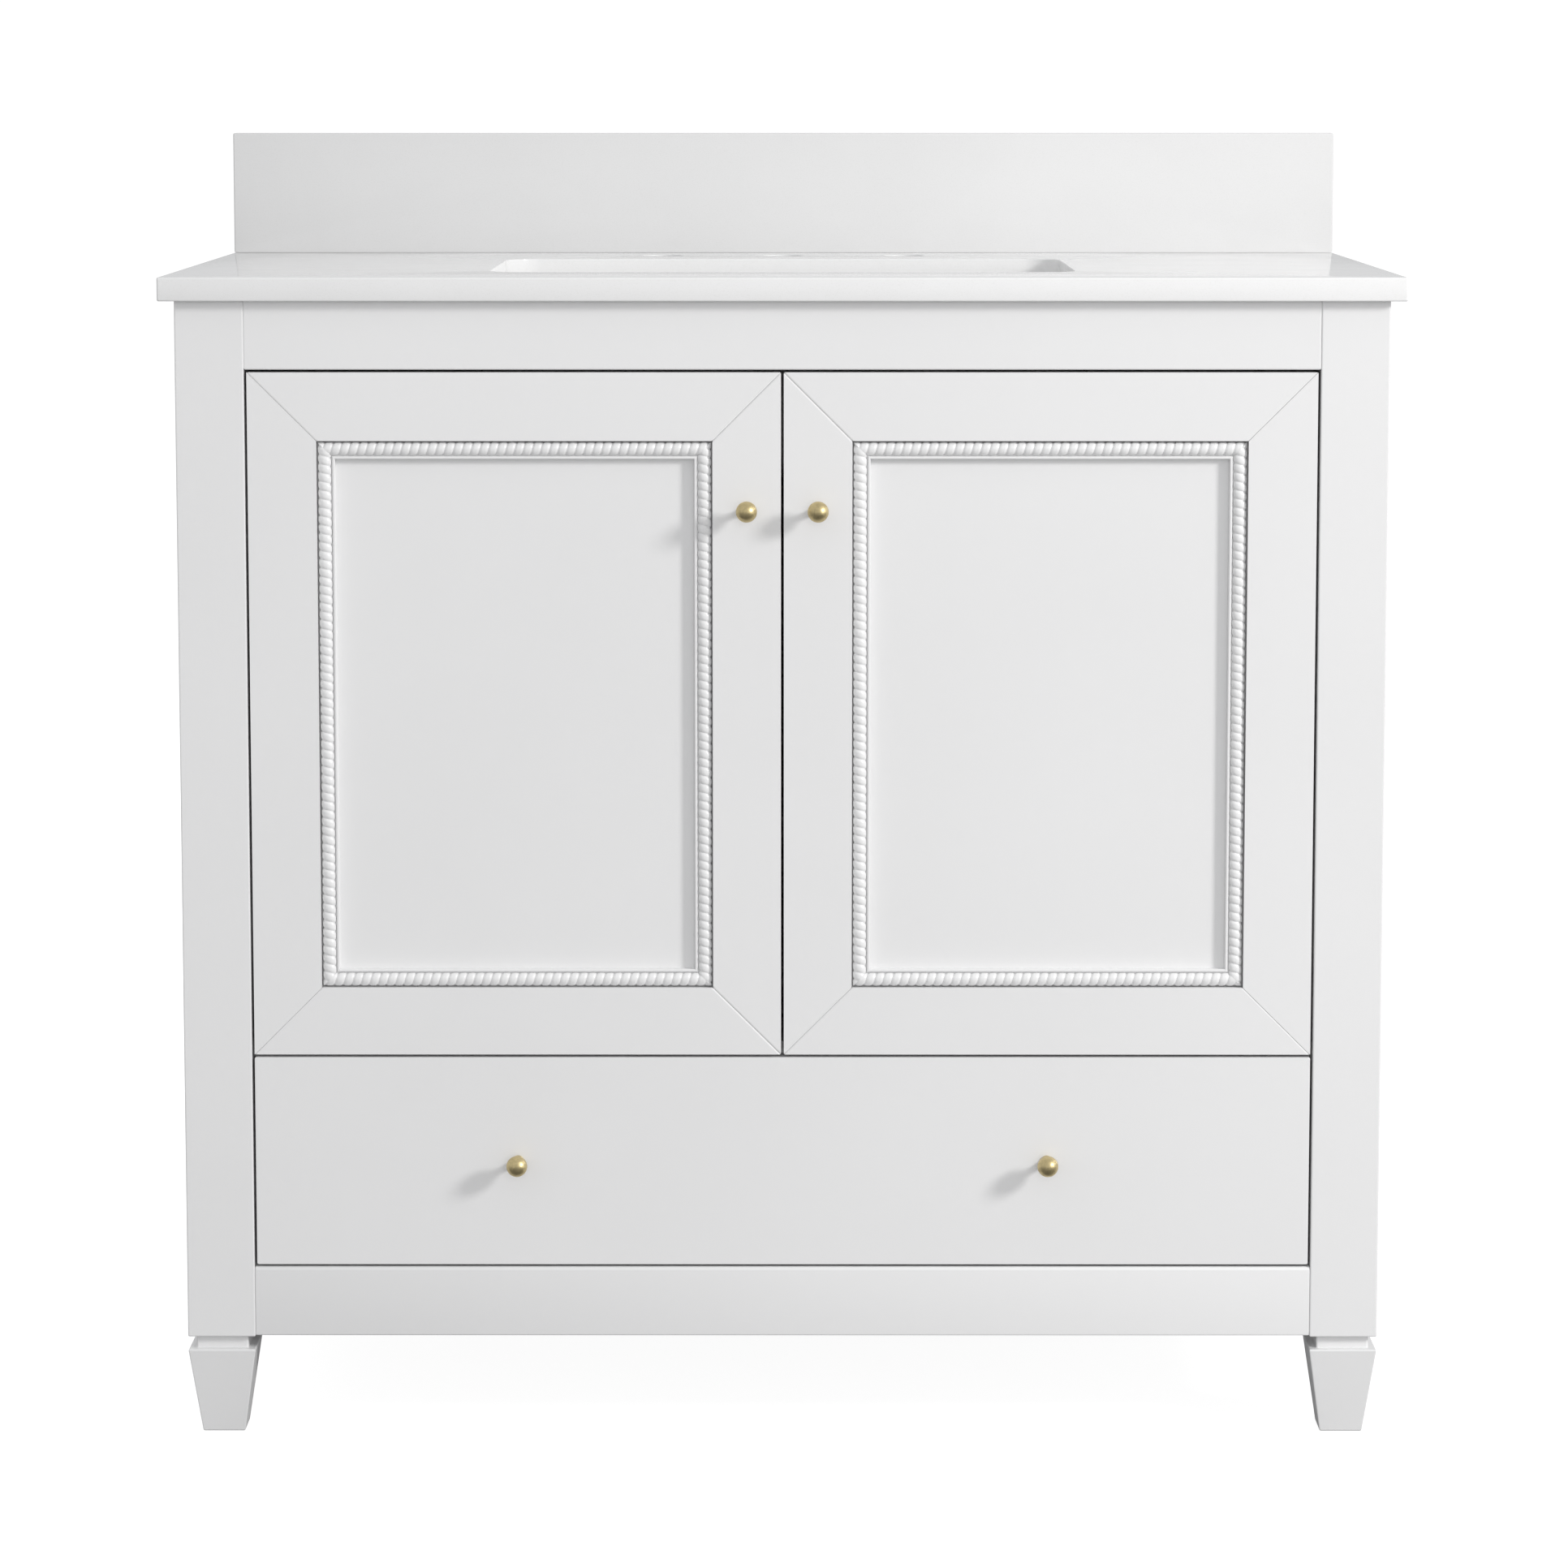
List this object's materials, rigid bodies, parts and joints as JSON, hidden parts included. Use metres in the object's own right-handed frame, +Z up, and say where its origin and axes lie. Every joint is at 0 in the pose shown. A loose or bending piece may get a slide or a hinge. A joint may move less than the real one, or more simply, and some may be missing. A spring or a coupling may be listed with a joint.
{
  "type": "bathroom vanity cabinet",
  "caption": "Free-standing painted vanity with stone top, backsplash, undermount sink, inset doors with rope mouldings and a wide bottom drawer.",
  "frame": {"origin": "on the floor, under the centre of the bounding box", "axes": "+X to the right seen from the front, +Y towards the wall, +Z up"},
  "size_m": [0.9398, 0.5738, 0.9946],
  "materials": {
    "paint": "satin white paint on wood",
    "timber": "clear lacquered birch",
    "stone": "polished white engineered stone",
    "glaze": "white glazed vitreous china",
    "brass": "satin brass",
    "steel": "zinc-plated steel"
  },
  "bodies": {
    "cabinet": {"back_panel": "paint", "back_top_rail": "paint", "backsplash": "stone", "bottom_panel": "paint", "countertop": "stone", "deck": "paint", "front_bottom_rail": "paint", "front_left_leg": "paint", "front_right_leg": "paint", "front_top_rail": "paint", "left_lower_hinge_arm": "steel", "left_side_panel": "paint", "left_slide_cabinet_member": "steel", "left_upper_hinge_arm": "steel", "rear_left_leg": "paint", "rear_right_leg": "paint", "right_lower_hinge_arm": "steel", "right_side_panel": "paint", "right_slide_cabinet_member": "steel", "right_upper_hinge_arm": "steel", "sink_bowl": "glaze"},
    "left_hinge_links": {"left_lower_hinge_link": "steel", "left_upper_hinge_link": "steel"},
    "left_door": {"left_door_bottom_rail": "paint", "left_door_hinge_stile": "paint", "left_door_knob": "brass", "left_door_meeting_stile": "paint", "left_door_panel": "paint", "left_door_top_rail": "paint", "left_lower_hinge_cup": "steel", "left_rope_moulding": "paint", "left_upper_hinge_cup": "steel"},
    "right_hinge_links": {"right_lower_hinge_link": "steel", "right_upper_hinge_link": "steel"},
    "right_door": {"right_door_bottom_rail": "paint", "right_door_hinge_stile": "paint", "right_door_knob": "brass", "right_door_meeting_stile": "paint", "right_door_panel": "paint", "right_door_top_rail": "paint", "right_lower_hinge_cup": "steel", "right_rope_moulding": "paint", "right_upper_hinge_cup": "steel"},
    "slide_middles": {"left_slide_middle_member": "steel", "right_slide_middle_member": "steel"},
    "drawer": {"drawer_back": "timber", "drawer_bottom": "timber", "drawer_box_front": "timber", "drawer_front": "paint", "left_drawer_knob": "brass", "left_drawer_side": "timber", "left_slide_drawer_member": "steel", "right_drawer_knob": "brass", "right_drawer_side": "timber", "right_slide_drawer_member": "steel"}
  },
  "joints": [
    {"name": "left_link_swing", "type": "hinge", "parent": "cabinet", "child": "left_hinge_links", "pos_m": [-0.3705, -0.2299, 0.56], "axis": [0, 0, 1], "range_deg": [0, 59]},
    {"name": "left_door_swing", "type": "hinge", "parent": "left_hinge_links", "child": "left_door", "pos_m": [-0.3913, -0.2434, 0.56], "axis": [0, 0, -1], "range_deg": [0, 153.9]},
    {"name": "right_link_swing", "type": "hinge", "parent": "cabinet", "child": "right_hinge_links", "pos_m": [0.3705, -0.2299, 0.56], "axis": [0, 0, -1], "range_deg": [0, 59]},
    {"name": "right_door_swing", "type": "hinge", "parent": "right_hinge_links", "child": "right_door", "pos_m": [0.3913, -0.2434, 0.56], "axis": [0, 0, 1], "range_deg": [0, 153.9]},
    {"name": "drawer_slide", "type": "slide", "parent": "cabinet", "child": "drawer", "axis": [0, -1, 0], "range_m": [0, 0.48]},
    {"name": "slide_middles_slide", "type": "slide", "parent": "cabinet", "child": "slide_middles", "axis": [0, -1, 0], "range_m": [0, 0.24]}
  ],
  "couplings": [
    {"joint": "left_link_swing", "follows": "left_door_swing", "ratio": 0.38272},
    {"joint": "right_link_swing", "follows": "right_door_swing", "ratio": 0.38272},
    {"joint": "slide_middles_slide", "follows": "drawer_slide", "ratio": 0.5}
  ]
}
